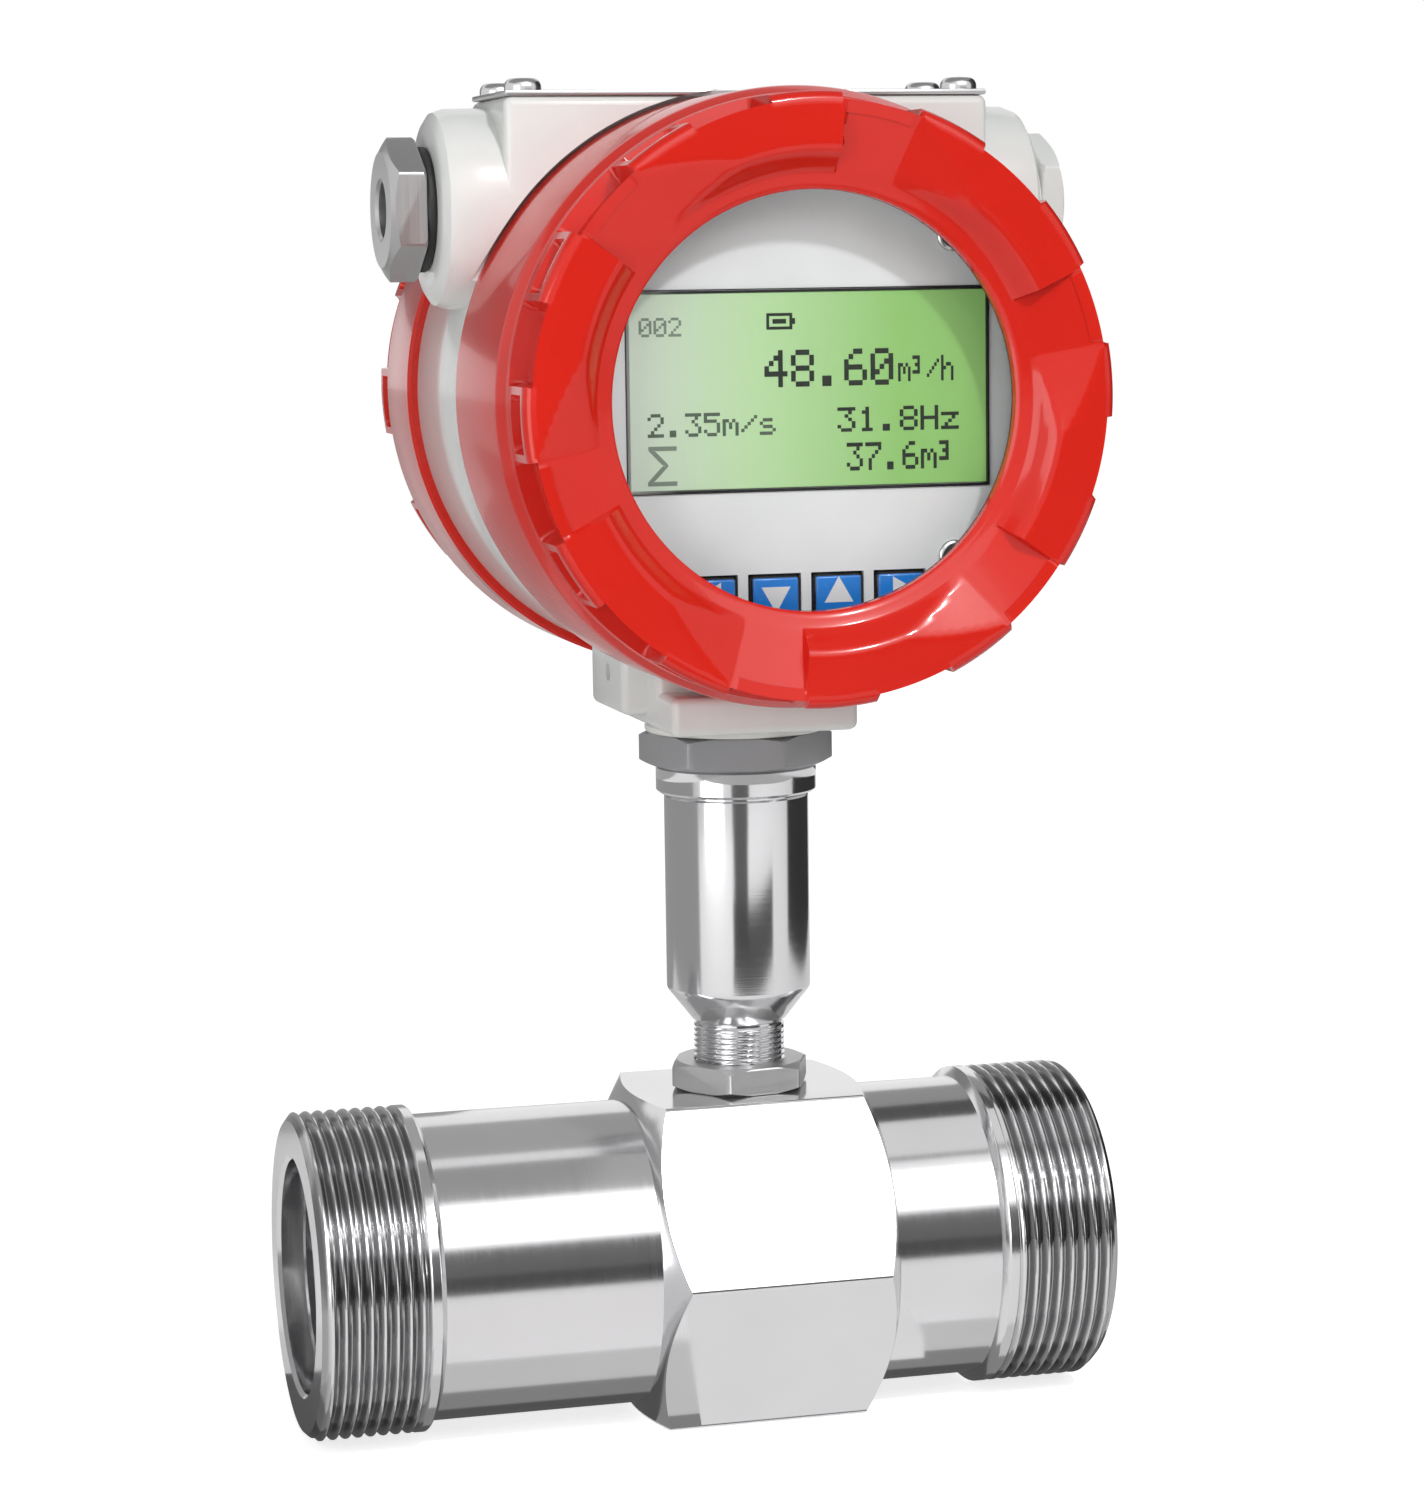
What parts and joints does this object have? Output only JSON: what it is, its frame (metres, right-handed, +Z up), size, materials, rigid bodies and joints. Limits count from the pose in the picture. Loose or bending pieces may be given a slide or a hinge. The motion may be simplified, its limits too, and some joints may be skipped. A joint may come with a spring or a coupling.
{
  "type": "turbine flow meter with digital head",
  "caption": "Turbine flow meter: a threaded stainless tube with a bladed rotor, a pickup neck and a round head with a window, screen and keys.",
  "frame": {"origin": "on the flat under the hexagon, below the middle of the neck", "axes": "+X along the pipe with the flow, the display faces -Y, +Z up along the neck"},
  "size_m": [0.1484, 0.131, 0.2445],
  "materials": {
    "stainless_steel": "turned and polished stainless steel",
    "turned_steel": "plain turned stainless steel",
    "carbide": "ground hard metal",
    "spring_steel": "spring steel",
    "rotor_steel": "magnetic stainless steel",
    "magnet": "nickel-plated magnet",
    "natural_plastic": "natural nylon",
    "copper_wire": "enamelled copper wire",
    "black_rubber": "matt black rubber",
    "black_plastic": "black moulded plastic",
    "dull_steel": "dull grey steel",
    "white_plastic": "white nylon",
    "white_enamel": "off-white gloss powder coat on cast aluminium",
    "plate_steel": "brushed stainless sheet",
    "red_enamel": "red gloss powder coat on cast aluminium",
    "window_glass": "clear toughened glass",
    "faceplate_white": "white printed film on a stiff plate",
    "screen_black": "black screen frame",
    "circuit_green": "green glass-fibre circuit board",
    "brass_post": "turned brass",
    "cell_wrap": "plain blue plastic sleeve",
    "terminal_green": "green moulded plastic",
    "key_blue": "blue key cap"
  },
  "bodies": {
    "flow_tube": {"meter_body": "stainless_steel", "inlet_straightener": "turned_steel", "outlet_straightener": "turned_steel", "inlet_bush": "carbide", "outlet_bush": "carbide", "inlet_snap_ring": "spring_steel", "outlet_snap_ring": "spring_steel", "pickup_sleeve": "stainless_steel", "pickup_pole_pin": "rotor_steel", "pickup_magnet": "magnet", "pickup_spool": "natural_plastic", "pickup_coil": "copper_wire", "pickup_lead": "black_rubber", "pickup_socket": "black_plastic", "lock_nut": "stainless_steel", "neck_adapter": "stainless_steel", "head_nut": "dull_steel", "neck_washer": "white_plastic"},
    "rotor": {"rotor": "rotor_steel", "rotor_shaft": "carbide"},
    "head": {"head_housing": "white_enamel", "top_plate": "plate_steel", "top_plate_screws": "dull_steel", "gland_gasket": "black_rubber", "plug_gasket": "white_plastic", "cable_gland": "turned_steel", "gland_seal": "black_rubber", "blind_plug": "white_enamel", "display_faceplate": "faceplate_white", "screen_module": "screen_black", "display_board": "circuit_green", "key_switches": "black_plastic", "display_spacers": "brass_post", "display_posts": "brass_post", "display_screws": "dull_steel", "battery_holder": "black_plastic", "battery": "cell_wrap", "terminal_board": "circuit_green", "terminal_posts": "brass_post", "terminal_block": "terminal_green", "terminal_screws": "dull_steel"},
    "front_seal": {"front_o_ring": "black_rubber"},
    "front_cover": {"front_cover": "red_enamel", "window_gasket": "black_rubber", "window_glass": "window_glass", "glass_retainer": "dull_steel"},
    "rear_seal": {"rear_o_ring": "black_rubber"},
    "rear_cover": {"rear_cover": "red_enamel"},
    "key_1": {"key_1": "key_blue"},
    "key_2": {"key_2": "key_blue"},
    "key_3": {"key_3": "key_blue"},
    "key_4": {"key_4": "key_blue"}
  },
  "joints": [
    {"name": "rotor_spin", "type": "hinge", "parent": "flow_tube", "child": "rotor", "pos_m": [0, 0, 0.03], "axis": [1, 0, 0], "continuous": true},
    {"name": "head_turn", "type": "hinge", "parent": "flow_tube", "child": "head", "pos_m": [0, 0, 0.128], "axis": [0, 0, 1], "range_deg": [-175, 175]},
    {"name": "front_cover_travel", "type": "slide", "parent": "head", "child": "front_seal", "axis": [0, -1, 0], "range_m": [0, 0.01401]},
    {"name": "front_cover_turn", "type": "hinge", "parent": "front_seal", "child": "front_cover", "pos_m": [0, 0, 0.1885], "axis": [0, -1, 0], "range_deg": [0, 2520]},
    {"name": "rear_cover_travel", "type": "slide", "parent": "head", "child": "rear_seal", "axis": [0, 1, 0], "range_m": [0, 0.01401]},
    {"name": "rear_cover_turn", "type": "hinge", "parent": "rear_seal", "child": "rear_cover", "pos_m": [0, 0, 0.1885], "axis": [0, 1, 0], "range_deg": [0, 2520]},
    {"name": "key_1_press", "type": "slide", "parent": "head", "child": "key_1", "axis": [0, 1, 0], "range_m": [0, 0.0004], "stiffness_N_per_m": 900},
    {"name": "key_2_press", "type": "slide", "parent": "head", "child": "key_2", "axis": [0, 1, 0], "range_m": [0, 0.0004], "stiffness_N_per_m": 900},
    {"name": "key_3_press", "type": "slide", "parent": "head", "child": "key_3", "axis": [0, 1, 0], "range_m": [0, 0.0004], "stiffness_N_per_m": 900},
    {"name": "key_4_press", "type": "slide", "parent": "head", "child": "key_4", "axis": [0, 1, 0], "range_m": [0, 0.0004], "stiffness_N_per_m": 900}
  ],
  "couplings": [
    {"joint": "front_cover_travel", "follows": "front_cover_turn", "m_per_rad": 0.00031831},
    {"joint": "rear_cover_travel", "follows": "rear_cover_turn", "m_per_rad": 0.00031831}
  ]
}
